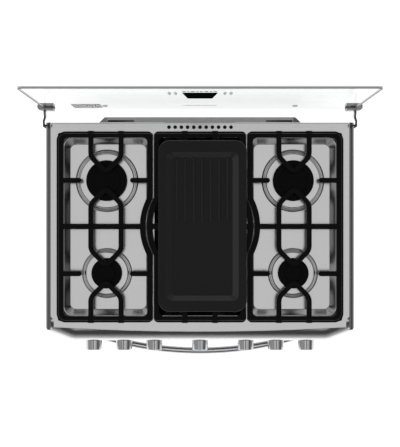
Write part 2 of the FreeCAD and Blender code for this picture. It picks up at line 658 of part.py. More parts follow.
def centre_grate():
    z0, z1 = GRATE_TOP - BAR_H, GRATE_TOP
    x = CENTRE_GRATE_X
    ring = stepped(-x, x, 0.15, 0.15, (11, 11, 11, 11))
    ring = ring.cut(rr_prism(-x + INNER_BAR_W, x - INNER_BAR_W, GRATE_Y[0] + END_BAR_W,
                             GRATE_Y[1] - END_BAR_W, z0 - 1, z1 + 1, 12))
    slot = box(-x - 5, -x + INNER_BAR_W + 2, BULGE_Y[0], BULGE_Y[1], z0 - 1, z1 + 1)
    ring = cut(ring, [slot, flip(slot)])
    zf = GRATE_TOP - FINGER_H
    xb = x - INNER_BAR_W / 2
    parts = [ring] + bulge(-xb, -123.4, INNER_BAR_W, z0, z1) + bulge(xb, 123.4, INNER_BAR_W, z0, z1)
    parts += loops(0.0, zf, z1)
    parts.append(bar((-124, MID_Y), (124, MID_Y), INNER_BAR_W, zf, z1))
    for by in (BURNER_REAR, BURNER_FRONT):
        parts += path_bar([(-xb, by), (-65, by)], (), FINGER_W, zf, z1, False, True)
        parts += path_bar([(xb, by), (65, by)], (), FINGER_W, zf, z1, False, True)
    for s in (-1, 1):
        parts.append(box(s * FINGER_HALF - 7, s * FINGER_HALF + 7,
                         GRATE_Y[1] - 8, GRATE_Y[1] + 1.4, z0, z1 - 0.3))
        parts.append(box(s * FINGER_HALF - 7, s * FINGER_HALF + 7,
                         GRATE_Y[0] - 1.4, GRATE_Y[0] + 8, z0, z1 - 0.3))
    parts += feet_of((-x + 6.5, x - 6.5), FOOT_Y)
    return fuse(parts)


left = side_grate()
save("grate_left", left)
save("grate_right", flip(left))
save("grate_centre", centre_grate())

# ------------------------------------------------------------------ griddle
gx0, gx1 = GRID_X
gy0, gy1 = GRID_Y
gz0, gz1 = GRID_Z
griddle = fuse([rr_prism(gx0 + 10, gx1 - 10, gy0 + 10, gy1 - 10, gz0, gz1 - 2, GRID_R - 8),
                rr_prism(gx0, gx1, gy0, gy1, gz1 - 6.5, gz1, GRID_R)])
griddle = picked(griddle, 2.5, lambda e: e.BoundBox.ZLength < 1e-4
                 and abs(e.BoundBox.ZMax - gz1) < 1e-4)
side_in, rear_in, front_in = 20.0, 28.0, 26.0
well = Part.makeLoft([
    rr_wire(gx0 + side_in, gx1 - side_in, gy0 + front_in, gy1 - rear_in, gz1 + 0.01, 14),
    rr_wire(gx0 + 33.5, gx1 - 34.5, gy0 + 38.5, gy1 - 41.5, gz0 + 6, 8)], True, True)
griddle = griddle.cut(well)
griddle = picked(griddle, 1.6, lambda e: e.BoundBox.ZLength < 0.02
                 and abs(e.BoundBox.ZMax - gz1) < 0.02
                 and e.BoundBox.XMin > gx0 + 15 and e.BoundBox.XMax < gx1 - 15
                 and e.BoundBox.YMin > gy0 + 15)
ribs = []
for i in range(RIBS):
    x = RIB_X0 + i * RIB_PITCH
    ribs += [cyl(3.0, (x, RIB_Y[0], gz0 + 5.2), (0, 1, 0), RIB_Y[1] - RIB_Y[0]),
             Part.makeSphere(3.0, V(x, RIB_Y[0], gz0 + 5.2)),
             Part.makeSphere(3.0, V(x, RIB_Y[1], gz0 + 5.2))]
griddle = griddle.multiFuse(ribs).removeSplitter()
save("griddle", griddle)

# ---------------------------------------------------------------------- lid
k12 = 14.0
glass = Part.Face(rr_wire(-GLASS_HALF_W, GLASS_HALF_W, GLASS_Z[0], GLASS_Z[1], 0,
                          (3, 3, k12, k12))).extrude(V(0, 0, GLASS_Y[1] - GLASS_Y[0]))
glass.rotate(V(0, 0, 0), V(1, 0, 0), 90)
glass.translate(V(0, GLASS_Y[1], 0))
save("lid_glass", glass)

clip = box(CLIP_X[0], CLIP_X[1], CLIP_Y[0], CLIP_Y[1], CLIP_Z[0], CLIP_Z[1])
clip = picked(clip, 2.0, lambda e: e.BoundBox.YLength > 10)
clip = cut(clip, [prism([(CLIP_X[1] - 5, y, 900), (CLIP_X[1] + 5, y, 900),
                         (CLIP_X[1] + 5, y + 10 * s, 900)], (0, 0, 1), 90)
                  for y, s in ((CLIP_Y[0] - 0.01, 1), (CLIP_Y[1] + 0.01, -1))])
clip = clip.cut(box(CLIP_X[0] - 5, GLASS_HALF_W + 0.2, GLASS_Y[0] - 0.05, GLASS_Y[1] + 0.05,
                    GLASS_Z[0] - 0.2, CLIP_Z[1] + 5))
save("lid_clips", both(clip))

# Arm: a strip bent in plan, trimmed to its side outline, with its pin
strip = fuse(path_bar([(377.5, 297.9), (378.5, 286), (383.4, 275), (383.4, 266.5),
                       (379.2, 257)], (8, 8, 8), 3.4, 890, 960, False, False))
outline = prism([(300, 259.0 + 5, 914.2), (300, 282, 925.5), (300, 291, 950), (300, 297.9, 950),
                 (300, 297.9, 926), (300, 288, 916), (300, 270.5, 904), (300, 265, 901.2)],
                (1, 0, 0), 100)
outline = outline.fuse(cyl(7.0, (300, PIVOT_Y, PIVOT_Z), (1, 0, 0), 100))
arm = strip.common(outline)
arm = arm.fuse([cyl(PIN_R, (365.0, PIVOT_Y, PIVOT_Z), (1, 0, 0), 19.0),
                cyl(3.8, (384.2, PIVOT_Y, PIVOT_Z), (1, 0, 0), 1.8)])
save("lid_arms", both(max(arm.removeSplitter().Solids, key=lambda s: s.Volume)))

bump = cyl(6.0, (223.0, GLASS_Y[0] - 4.0, 1044.0), (0, 1, 0), 4.0)
bump = picked(bump, 1.2, lambda e: e.BoundBox.YLength < 1e-4
              and abs(e.BoundBox.YMin - (GLASS_Y[0] - 4.0)) < 1e-4)
save("lid_bumpers", both(bump))

br = fuse([box(365.6, 367.8, PIVOT_Y - 5, PIVOT_Y + 5, Z_TOP, PIVOT_Z),
           cyl(5.0, (365.6, PIVOT_Y, PIVOT_Z), (1, 0, 0), 2.2),
           box(358, 367.8, PIVOT_Y - 5, PIVOT_Y + 5, Z_TOP, Z_TOP + 1.2)])
br = br.cut(cyl(PIN_R + RUN, (350, PIVOT_Y, PIVOT_Z), (1, 0, 0), 30))
save("lid_hinge_brackets", both(br))

# ------------------------------------------------------------------ carcass
base = box(-376.5, 376.5, -208, 267.5, BASE_Z, BASE_Z + 2)
base = base.cut(box(-280, 280, -150, 210, BASE_Z - 1, BASE_Z + 3))
base = base.fuse([box(-376.5, 376.5, -208, -206, BASE_Z, BASE_Z + 18),
                  box(-376.5, 376.5, 265.5, 267.5, BASE_Z, BASE_Z + 24)] +
                 [cyl(13.0, (x, y, BASE_Z - 4), (0, 0, 1), 26) for x, y in FEET])
base = cut(base, [cyl(5.0 + RUN, (x, y, 20), (0, 0, 1), 60) for x, y in FEET])
save("base_frame", base.removeSplitter())


def foot(x, y):
    return revolve([(0, 0), (17, 0), (18, 1.2), (18, 6), (8.5, 10), (8.5, 16), (5, 16),
                    (5, 57.5), (4.5, 58), (0, 58)], x, y)


for name, (x, y) in zip(("foot_front_left", "foot_front_right", "foot_rear_left",
                         "foot_rear_right"), FEET):
    save(name, foot(x, y))

sp = box(376.8, 378.8, -213, 270, BASE_Z, 884)
sp = sp.fuse([box(357, 377, -213, -211.5, BASE_Z, 782), box(366, 377, 270.2 - 1.8, 270, BASE_Z, 868)])
sp = sp.cut(box(366, 376.8, 268, 271, BASE_Z - 1, 870))
save("side_panels", both(max(sp.removeSplitter().Solids, key=lambda s: s.Volume)))

back = box(-376.6, 376.6, BACK_Y[0], BACK_Y[1], BASE_Z, 868)
back = cut(back, [cyl(13.5, (INLET_X, 260, INLET_Z), (0, 1, 0), 20)])
save("back_panel", back)

# Bulged cover on the back with louvres
rz0, rz1 = 150.0, 842.0


def bulge_plan(t, y0, z0, z1):
    """Cover outline in plan, its top ends sloping down to the sides."""
    s = prism([(-264 + t, y0, z0), (-240 + t * 0.7, REAR_BULGE - t, z0),
               (240 - t * 0.7, REAR_BULGE - t, z0), (264 - t, y0, z0)], (0, 0, 1), z1 - z0)
    w = prism([(234 - t, y0 - 5, z1), (300, y0 - 5, z1 + 1), (300, y0 - 5, z1 - 37)],
              (0, 1, 0), 50)
    return cut(s, [w, flip(w)])


cover = bulge_plan(0, BACK_Y[1] + 0.1, rz0, rz1).cut(
    bulge_plan(1.3, BACK_Y[1] - 1, rz0 + 1.3, rz1 - 1.3))
cover = cover.fuse(box(-276, 276, BACK_Y[1] + 0.1, BACK_Y[1] + 1.4, rz0 - 12, rz1 + 12).cut(
    box(-230, 230, 260, 280, rz0 + 2, rz1 - 2)))
lou = []
for row in range(7):
    for col in (-150, 0, 150):
        lou.append(box(col - 50, col + 50, REAR_BULGE - 4, REAR_BULGE + 4,
                       560 + row * 26, 566 + row * 26))
for x in (-199, 199):
    lou.append(box(x - 33, x + 33, 279, 283.5, rz1 - 4, rz1 + 4))
cover = cut(cover, lou)
save("rear_cover", max(cover.removeSplitter().Solids, key=lambda s: s.Volume))

# Sheet-metal screws on the back
screws = []
for x, z in [(s * 270, z) for s in (-1, 1) for z in (180, 350, 520, 690, 820)] + \
            [(s * 368, z) for s in (-1, 1) for z in (80, 300, 520, 740)]:
    y = BACK_Y[1] + (1.4 if abs(x) < 300 else 0.0)
    h = cyl(4.0, (x, y, z), (0, 1, 0), 2.2)
    h = picked(h, 1.0, lambda e: e.BoundBox.YLength < 1e-4 and e.BoundBox.YMin > y + 1)
    h = h.cut(box(x - 2.6, x + 2.6, y + 1.2, y + 3, z - 0.5, z + 0.5).fuse(
        box(x - 0.5, x + 0.5, y + 1.2, y + 3, z - 2.6, z + 2.6)))
    screws.append(h)
save("body_screws", Part.makeCompound(screws))

# Oven cavity with its front frame
co = box(-CAV_X - 1.5, CAV_X + 1.5, FRONT, CAV_Y1 + 1.5, CAV_Z[0] - 1.5, CAV_Z[1] + 1.5)
frame = box(-356, 356, FRONT, FRONT + 1.5, 212, 780)
cavity = co.fuse(frame).cut(box(-CAV_X, CAV_X, FRONT - 5, CAV_Y1, CAV_Z[0], CAV_Z[1]))
cavity = cut(cavity, [box(-78, 78, 198, 212, CAV_Z[1] - 5, CAV_Z[1] + 5),
                      cyl(5.0, (0, -150, 270), (0, 0, 1), 30)])
save("oven_cavity", cavity.removeSplitter())

# mineral-wool slabs: two sides, roof, floor, back
ix, iy = CAV_X + 1.7, CAV_Y1 + 1.7
iz0, iz1 = CAV_Z[0] - 1.7, CAV_Z[1] + 1.7
jx, jz = ix - 0.1, 0.1        # the slabs stand 0.1 apart
slabs = [box(-330, -ix, -209, 245, 262, 742), box(ix, 330, -209, 245, 262, 742),
         box(-jx, jx, -209, 245, iz1, 742).cut(box(-84, 84, 194, 218, 695, 745)),
         box(-jx, jx, -209, 245, 262, iz0).cut(cyl(6, (0, -150, 255), (0, 0, 1), 40)),
         box(-jx, jx, iy, 245, iz0 + jz, iz1 - jz)]
save("oven_insulation", Part.makeCompound(slabs))

# Flue from the oven roof to the vent row
fo = fuse([box(-82, 82, 196, 216, 701.6, 772), box(-82, 82, 196, 267, 746, 772),
           box(-82, 82, 250, 267, 746, 898.3)])
fi = fuse([box(-80.8, 80.8, 197.2, 214.8, 700, 770.8), box(-80.8, 80.8, 197.2, 265.8, 747.2, 770.8),
           box(-80.8, 80.8, 251.2, 265.8, 747.2, 900)])
save("oven_flue", fo.cut(fi))

# Floor plate over the oven burner
plate = box(-284, 284, -196, 205, 326, 327.5)
plate = plate.fuse([box(-284, -282.5, -196, 205, CAV_Z[0], 327.5),
                    box(282.5, 284, -196, 205, CAV_Z[0], 327.5)])
slots = [box(s * 255 - 6, s * 255 + 6, y, y + 40, 320, 330) for s in (-1, 1)
         for y in (-170, -110, -50, 10, 70, 130)]
save("oven_floor_plate", cut(plate, slots).removeSplitter())

ob = cyl(12, (0, -175, 305), (0, 1, 0), 360)
ob = ob.fuse([box(-9, 9, -160, -140, CAV_Z[0], 296), box(-9, 9, 150, 170, CAV_Z[0], 296)])
ob = cut(ob, [cyl(10.5, (0, -173, 305), (0, 1, 0), 356), cyl(4.05, (0, -150, 280), (0, 0, 1), 20)]
         + [cyl(1.6, (-16, -120 + i * 20, 307), (1, 0, 0), 32) for i in range(13)])
save("oven_burner", ob.removeSplitter())


def wire(p, q, r):
    a, b = V(*p), V(*q)
    return Part.makeCylinder(r, (b - a).Length, a, b - a)


gw = []
for z in (400, 500, 600):
    for dz in (0, 15):
        gw.append(wire((284, -198, z + dz), (284, 205, z + dz), 2.5))
for y in (-150, 20, 180):
    gw.append(wire((287.75, y, 385), (287.75, y, 630), 2.25))
save("rack_guides", both(fuse(gw)))

rk = [wire((-279, -199, RACK_Z), (279, -199, RACK_Z), 3.0),
      wire((-279, 200, RACK_Z), (279, 200, RACK_Z), 3.0)]
for s in (-1, 1):
    rk += [wire((s * 282, -196, RACK_Z), (s * 282, 197, RACK_Z), 3.0),
           Part.makeSphere(3.0, V(s * 282, -196, RACK_Z)), Part.makeSphere(3.0, V(s * 282, 197, RACK_Z)),
           wire((s * 282, -196, RACK_Z), (s * 279, -199, RACK_Z), 3.0),
           wire((s * 282, 197, RACK_Z), (s * 279, 200, RACK_Z), 3.0),
           Part.makeSphere(3.0, V(s * 279, -199, RACK_Z)), Part.makeSphere(3.0, V(s * 279, 200, RACK_Z))]
for i in range(17):
    x = -256 + i * 32
    rk.append(wire((x, -199, RACK_Z + 0.5), (x, 200, RACK_Z + 0.5), 1.8))
rk.append(wire((-280, 20, RACK_Z - 2.9), (280, 20, RACK_Z - 2.9), 2.2))
rack = fuse(rk)
save("oven_rack", rack)

# Door seal on the oven frame
gk = Part.Face(rr_wire(-325, 325, 255, 735, 0, 26)).extrude(V(0, 0, 5))
gk = gk.cut(Part.Face(rr_wire(-314, 314, 266, 724, -1, 18)).extrude(V(0, 0, 8)))
gk.rotate(V(0, 0, 0), V(1, 0, 0), 90)
gk.translate(V(0, FRONT, 0))
save("door_gasket", gk)

# Door hinges: bracket and pin on the carcass, knuckle and leaf in the door
hb = box(352, 356, -246, FRONT - 0.05, 218, 234)
hb = picked(hb, 5.0, lambda e: e.BoundBox.XLength > 3 and e.BoundBox.YMax < -240)
hb = hb.fuse([cyl(4.0, (339, HINGE_Y, HINGE_Z), (1, 0, 0), 15),
              box(349, 356, FRONT - 1.5, FRONT - 0.05, 214, 252)])
save("door_hinges", both(hb.removeSplitter()))

ha = fuse([cyl(7.5, (341, HINGE_Y, HINGE_Z), (1, 0, 0), 8),
           box(341, 349, -246, -238.2, HINGE_Z, 330)])
ha = ha.cut(cyl(4.0 + RUN, (330, HINGE_Y, HINGE_Z), (1, 0, 0), 30))
save("hinge_arms", both(ha))

# Oven door
WIN = (230.0, 330.0, 640.0)
do = box(-DOOR_HALF_W, DOOR_HALF_W, DOOR_FACE, -236, DOOR_Z[0], DOOR_Z[1])
do = picked(do, 4.0, lambda e: e.BoundBox.YLength < 1e-4 and abs(e.BoundBox.YMin - DOOR_FACE) < 1e-4)
do = do.cut(box(-DOOR_HALF_W + 1.5, DOOR_HALF_W - 1.5, DOOR_FACE + 1.5, -230,
                DOOR_Z[0] + 1.5, DOOR_Z[1] - 1.5))
do = do.cut(Part.Face(rr_wire(-WIN[0], WIN[0], WIN[1], WIN[2], 0, 14)).extrude(
    V(0, 0, 20)).rotated(V(0, 0, 0), V(1, 0, 0), 90).translated(V(0, DOOR_FACE + 10, 0)))
notch = box(350.5, 357.5, -253.4, -225, 200, 236)
do = cut(do, [notch, flip(notch)])
save("door_outer", do)

save("door_window", box(-245, 245, -253.45, -249.5, 315, 655))

di = box(-349, 349, -236, -218.5, 226.5, 765)
di = di.cut(box(-347.5, 347.5, -240, -220, 228, 763.5))
di = cut(di, [box(-212, 212, -230, -210, 345, 625),
              box(340, 351, -240, -219, 226, 240), box(-351, -340, -240, -219, 226, 240)])
save("door_inner", di)
save("door_inner_glass", box(-226, 226, -224.5, -220.1, 331, 639))

dins = box(-338, 338, -248, -225, 236, 758).cut(box(-250, 250, -260, -210, 310, 660))
save("door_insulation", dins)

half = math.degrees(math.asin(292.0 / (HANDLE_BOW - HANDLE_R)))
rc = HANDLE_BOW - HANDLE_R
cy = HANDLE_FRONT + HANDLE_BOW
ring = Part.Face(Part.Wire(Part.makeCircle(HANDLE_R, V(rc, 0, 0), V(0, 1, 0))))
hd = ring.revolve(V(0, 0, 0), V(0, 0, 1), 2 * half)
hd.rotate(V(0, 0, 0), V(0, 0, 1), -90 - half)
hd.translate(V(0, cy, HANDLE_Z))
posts = []
for s in (-1, 1):
    p = box(s * 276 - 11, s * 276 + 11, -271, DOOR_FACE, HANDLE_Z - 9.5, HANDLE_Z + 9.5)
    posts.append(picked(p, 4.0, lambda e: e.BoundBox.YLength > 10))
hd = hd.fuse(posts).common(box(-287, 287, -330, DOOR_FACE, 700, 800))
save("door_handle", max(hd.removeSplitter().Solids, key=lambda s: s.Volume))

# Storage drawer
df = box(-DOOR_HALF_W, DOOR_HALF_W, DOOR_FACE, -234, DRAWER_Z[0], DRAWER_Z[1])
df = picked(df, 4.0, lambda e: e.BoundBox.YLength < 1e-4 and abs(e.BoundBox.YMin - DOOR_FACE) < 1e-4)
df = df.cut(box(-DOOR_HALF_W + 1.5, DOOR_HALF_W - 1.5, DOOR_FACE + 1.5, -230,
                DRAWER_Z[0] + 1.5, DRAWER_Z[1] - 1.5))
grip = box(-110, 110, -262, -240, DRAWER_Z[1] - 12, DRAWER_Z[1] + 4)
grip = picked(grip, 8.0, lambda e: e.BoundBox.YLength > 10 and e.BoundBox.ZMax < DRAWER_Z[1])
df = df.cut(grip)
save("drawer_front", df)

dbx = box(-340, 340, -233.9, 200, 72, 178).cut(box(-338.5, 338.5, -232.4, 198.5, 73.5, 190))
dbx = dbx.fuse([box(-344.5, -340, -205, 195, 116, 128), box(340, 344.5, -205, 195, 116, 128)])
save("drawer_box", dbx.removeSplitter())

rl = fuse([box(346, 348, -205, 205, 108, 136), box(341.5, 347, -205, 205, 108, 114.8),
           box(341.5, 347, -205, 205, 129.2, 136),
           box(348, 376.7, -150, -130, 108, 110), box(348, 376.7, 130, 150, 108, 110)])
save("drawer_rails", both(rl))
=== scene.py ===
import bpy, bmesh, math
from mathutils import Vector, Matrix


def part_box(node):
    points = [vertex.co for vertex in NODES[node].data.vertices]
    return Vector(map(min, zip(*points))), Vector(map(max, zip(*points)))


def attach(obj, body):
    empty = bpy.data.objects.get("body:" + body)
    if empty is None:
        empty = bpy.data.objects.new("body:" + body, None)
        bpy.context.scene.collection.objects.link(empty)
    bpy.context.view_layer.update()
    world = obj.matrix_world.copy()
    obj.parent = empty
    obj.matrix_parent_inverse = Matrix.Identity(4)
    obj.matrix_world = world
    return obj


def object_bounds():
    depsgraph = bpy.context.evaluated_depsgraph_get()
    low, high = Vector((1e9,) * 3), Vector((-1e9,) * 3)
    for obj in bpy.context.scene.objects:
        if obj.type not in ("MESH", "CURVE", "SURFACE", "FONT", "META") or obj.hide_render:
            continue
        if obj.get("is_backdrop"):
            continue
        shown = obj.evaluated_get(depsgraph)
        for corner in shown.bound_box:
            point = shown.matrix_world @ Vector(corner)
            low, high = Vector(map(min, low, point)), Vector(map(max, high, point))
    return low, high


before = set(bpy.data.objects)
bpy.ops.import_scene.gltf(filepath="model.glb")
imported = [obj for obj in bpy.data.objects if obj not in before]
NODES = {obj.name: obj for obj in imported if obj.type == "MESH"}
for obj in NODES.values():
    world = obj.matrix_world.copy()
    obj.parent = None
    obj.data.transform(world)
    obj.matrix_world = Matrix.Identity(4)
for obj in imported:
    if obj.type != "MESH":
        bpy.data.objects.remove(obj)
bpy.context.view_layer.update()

scene = bpy.context.scene


# ------------------------------------------------------------ node helpers
class Net:
    """Small wrapper that keeps material node code readable."""

    def __init__(self, name, world=None):
        if world is None:
            self.owner = bpy.data.materials.new(name)
        else:
            self.owner = world
        self.owner.use_nodes = True
        self.t = self.owner.node_tree
        self.t.nodes.clear()

    def n(self, kind, _in=None, **props):
        node = self.t.nodes.new(kind)
        for k, v in props.items():
            setattr(node, k, v)
        for k, v in (_in or {}).items():
            self.set(node, k, v)
        return node

    def set(self, node, key, v):
        sock = node.inputs[key]
        if isinstance(v, bpy.types.NodeSocket):
            self.t.links.new(v, sock)
        elif isinstance(v, bpy.types.Node):
            self.t.links.new(v.outputs[0], sock)
        else:
            if isinstance(v, (tuple, list)) and len(v) == 3 and sock.type == "RGBA":
                v = tuple(v) + (1.0,)
            sock.default_value = v

    def pos(self):
        return self.n("ShaderNodeTexCoord").outputs["Object"]

    def scaled(self, vec, s):
        return self.n("ShaderNodeMapping", {"Vector": vec, "Scale": s}).outputs[0]

    def noise(self, vec, scale, detail=4.0, rough=0.55, dist=0.0):
        return self.n("ShaderNodeTexNoise", {"Vector": vec, "Scale": scale, "Detail": detail,
                                             "Roughness": rough, "Distortion": dist}).outputs["Fac"]

    def ramp(self, fac, stops, mode="LINEAR"):
        r = self.n("ShaderNodeValToRGB", {"Fac": fac})
        r.color_ramp.interpolation = mode
        els = r.color_ramp.elements
        while len(els) < len(stops):
            els.new(0.5)
        for e, (p, c) in zip(els, stops):
            e.position = p
            if not isinstance(c, (tuple, list)):
                c = (c, c, c)
            e.color = tuple(c) + (1.0,)
        return r.outputs[0]

    def math(self, op, a, b=0.0, c=0.0, clamp=False):
        m = self.n("ShaderNodeMath", {0: a, 1: b, 2: c}, operation=op)
        m.use_clamp = clamp
        return m.outputs[0]

    def mix(self, fac, a, b, blend="MIX"):
        m = self.n("ShaderNodeMix", data_type="RGBA", blend_type=blend)
        self.set(m, 0, fac)
        self.set(m, 6, a)
        self.set(m, 7, b)
        return m.outputs[2]

    def lerp(self, fac, lo, hi):
        return self.n("ShaderNodeMapRange", {"Value": fac, "To Min": lo, "To Max": hi}).outputs[0]

    def xyz(self, vec):
        s = self.n("ShaderNodeSeparateXYZ", {"Vector": vec})
        return s.outputs[0], s.outputs[1], s.outputs[2]

    def bump(self, height, strength, distance, normal=None):
        b = self.n("ShaderNodeBump", {"Height": height, "Strength": strength, "Distance": distance})
        if normal is not None:
            self.set(b, "Normal", normal)
        return b.outputs[0]

    def bsdf(self, **ins):
        node = self.n("ShaderNodeBsdfPrincipled")
        for k, v in ins.items():
            self.set(node, k.replace("_", " "), v)
        return node

    def out(self, shader):
        sock = shader.outputs[0] if isinstance(shader, bpy.types.Node) else shader
        o = self.n("ShaderNodeOutputMaterial")
        self.t.links.new(sock, o.inputs[0])
        return self.owner


def brushed(name, base, rough, along, spread=0.05, streak=0.05, bump=0.06, fine=900.0, metal=1.0,
            scuff=0.03, aniso=0.35):
    """Sheet or bar metal brushed along one axis, with faint wipe marks."""
    m = Net(name)
    p = m.pos()
    s = {"x": (4, fine, fine), "y": (fine, 4, fine), "z": (fine, fine, 4)}[along]
    grain = m.noise(m.scaled(p, s), 1.0, 5.0, 0.6)
    s2 = tuple(0.12 * v if v > 100 else v * 1.7 for v in s)
    wide = m.noise(m.scaled(p, s2), 1.0, 3.0, 0.5)
    cloud = m.noise(p, 5.5, 3.0, 0.5, 0.4)
    dark = tuple(c * (1 - spread) for c in base)
    light = tuple(min(1.0, c * (1 + spread)) for c in base)
    col = m.mix(m.ramp(grain, [(0.3, 0.0), (0.7, 1.0)]), dark, light)
    col = m.mix(m.math("MULTIPLY", m.ramp(wide, [(0.35, 0.0), (0.7, 1.0)]), streak), col, (0.3, 0.3, 0.31))
    r = m.math("ADD", m.lerp(grain, rough - 0.05, rough + 0.05),
               m.lerp(cloud, -scuff, scuff))
    nrm = m.bump(grain, bump, 0.0004)
    b = m.bsdf(Base_Color=col, Metallic=metal, Roughness=r, Normal=nrm)
    b.inputs["Anisotropic"].default_value = aniso
    return m.out(b)


def painted(name, base, rough, peel=240.0, peel_depth=0.08, coat=0.0, speck=0.0, metal=0.0, mottle=0.04):
    """Paint or enamel: orange peel, slight mottling, optional light specks."""
    m = Net(name)
    p = m.pos()
    a = m.noise(p, peel, 3.0, 0.5)
    cloud = m.noise(p, 9.0, 4.0, 0.55, 0.3)
    col = m.mix(cloud, tuple(c * (1 - mottle) for c in base), tuple(c * (1 + mottle) + 0.0004 for c in base))
    if speck:
        v = m.n("ShaderNodeTexVoronoi", {"Vector": p, "Scale": 420.0}).outputs["Distance"]
        pick = m.noise(p, 210.0, 1.0)
        dots = m.math("MULTIPLY", m.ramp(v, [(0.10, 1.0), (0.17, 0.0)]),
                      m.ramp(pick, [(0.52, 0.0), (0.58, 1.0)]))
        col = m.mix(m.math("MULTIPLY", dots, speck), col, (0.75, 0.77, 0.8))
    b = m.bsdf(Base_Color=col, Metallic=metal, Roughness=m.lerp(cloud, rough - 0.04, rough + 0.05),
               Normal=m.bump(a, peel_depth, 0.0006))
    b.inputs["Coat Weight"].default_value = coat
    b.inputs["Coat Roughness"].default_value = 0.12
    return m.out(b)


def zinc(name, base=(0.46, 0.47, 0.48), rough=0.42):
    """Zinc-coated sheet with its crystal spangle."""
    m = Net(name)
    p = m.pos()
    v = m.n("ShaderNodeTexVoronoi", {"Vector": m.scaled(p, (1, 1, 1)), "Scale": 75.0, "Randomness": 1.0})
    cell = m.n("ShaderNodeSeparateColor", {"Color": v.outputs["Color"]}).outputs[0]
    fine = m.noise(p, 320.0, 3.0)
    col = m.mix(cell, tuple(c * 0.86 for c in base), tuple(c * 1.1 for c in base))
    r = m.math("ADD", m.lerp(cell, rough - 0.08, rough + 0.08), m.lerp(fine, -0.03, 0.03))
    b = m.bsdf(Base_Color=col, Metallic=0.9, Roughness=r,
               Normal=m.bump(m.math("ADD", m.math("MULTIPLY", cell, 0.3), fine), 0.05, 0.0004))
    return m.out(b)


def cast(name, base, rough, grain=520.0, depth=0.22, spec=0.35, polish=0.0, coat=0.0):
    """Cast iron under matt enamel, with sand-cast grain."""
    m = Net(name)
    p = m.pos()
    g1 = m.noise(p, grain, 5.0, 0.65)
    g2 = m.noise(p, grain * 0.18, 3.0, 0.5)
    v = m.n("ShaderNodeTexVoronoi", {"Vector": p, "Scale": grain * 1.3}).outputs["Distance"]
    h = m.math("ADD", g1, m.math("MULTIPLY", v, 0.5))
    col = m.mix(g2, tuple(c * 0.8 for c in base), tuple(c * 1.25 for c in base))
    r = m.lerp(g1, rough - 0.07, rough + 0.07)
    b = m.bsdf(Base_Color=col, Metallic=0.0, Roughness=r, Normal=m.bump(h, depth, 0.0006))
    b.inputs["Specular IOR Level"].default_value = spec
    if polish:
        geo = m.n("ShaderNodeNewGeometry")
        tilt = m.math("ABSOLUTE", m.xyz(geo.outputs["Normal"])[2])
        turn = m.ramp(tilt, [(0.30, 0.0), (0.55, 1.0), (0.90, 0.8), (0.985, 0.0)])
        m.set(b, "Specular IOR Level", m.lerp(turn, spec, polish))
    b.inputs["Coat Weight"].default_value = coat
    b.inputs["Coat Roughness"].default_value = 0.3
    return m.out(b)


def satin_chrome(name, base, rough, centre_axis="y"):
    """Plated metal with very fine turning marks round its axis."""
    m = Net(name)
    p = m.pos()
    s = {"x": (2600, 30, 30), "y": (30, 2600, 30), "z": (30, 30, 2600)}[centre_axis]
    g = m.noise(m.scaled(p, s), 1.0, 3.0)
    c = m.noise(p, 60.0, 3.0)
    b = m.bsdf(Base_Color=m.mix(c, tuple(x * 0.96 for x in base), base), Metallic=1.0,
               Roughness=m.math("ADD", m.lerp(g, rough - 0.04, rough + 0.04), m.lerp(c, -0.02, 0.02)),
               Normal=m.bump(g, 0.03, 0.0003))
    return m.out(b)


def knob_finish(name, x, z0, r1):
    """Satin chrome, with the pointer groove coloured near black as painted shade."""
    m = Net(name)
    p = m.pos()
    px, py, pz = m.xyz(p)
    g = m.noise(m.scaled(p, (30, 2600, 30)), 1.0, 3.0)
    c = m.noise(p, 70.0, 3.0)
    groove = m.math("MULTIPLY", m.math("LESS_THAN", m.math("ABSOLUTE", m.math("SUBTRACT", px, x)), 0.00125),
                    m.math("GREATER_THAN", pz, z0 + 0.003))
    inside = m.math("LESS_THAN", m.math("ABSOLUTE", m.math("SUBTRACT", px, x)), 0.00093)
    geo = m.n("ShaderNodeNewGeometry")
    base = m.mix(c, (0.60, 0.60, 0.61), (0.66, 0.66, 0.67))
    # painted shade: inside the pointer groove the colour goes near black and non-metallic
    col = m.mix(m.math("MULTIPLY", groove, inside), base, (0.012, 0.012, 0.013))
    met = m.math("SUBTRACT", 1.0, m.math("MULTIPLY", groove, inside))
    b = m.bsdf(Base_Color=col, Metallic=met,
               Roughness=m.math("ADD", m.lerp(g, 0.15, 0.22), m.lerp(c, -0.02, 0.02)),
               Normal=m.bump(g, 0.03, 0.0003))
    return m.out(b)


def wool(name):
    m = Net(name)
    p = m.pos()
    f = m.noise(m.scaled(p, (60, 700, 240)), 1.0, 5.0, 0.7, 1.5)
    c = m.noise(p, 18.0, 4.0)
    col = m.mix(f, (0.30, 0.25, 0.13), (0.66, 0.60, 0.42))
    b = m.bsdf(Base_Color=m.mix(m.math("MULTIPLY", c, 0.3), col, (0.5, 0.46, 0.35)), Roughness=0.95,
               Normal=m.bump(f, 0.6, 0.002))
    return m.out(b)


def rope_seal(name):
    m = Net(name)
    p = m.pos()
    w1 = m.n("ShaderNodeTexWave", {"Vector": p, "Scale": 130.0, "Distortion": 1.0}, wave_type="BANDS",
             bands_direction="DIAGONAL").outputs["Fac"]
    n = m.noise(p, 900.0, 3.0)
    b = m.bsdf(Base_Color=m.mix(w1, (0.03, 0.03, 0.03), (0.10, 0.10, 0.10)), Roughness=0.9,
               Normal=m.bump(m.math("ADD", w1, m.math("MULTIPLY", n, 0.4)), 0.5, 0.001))
    return m.out(b)


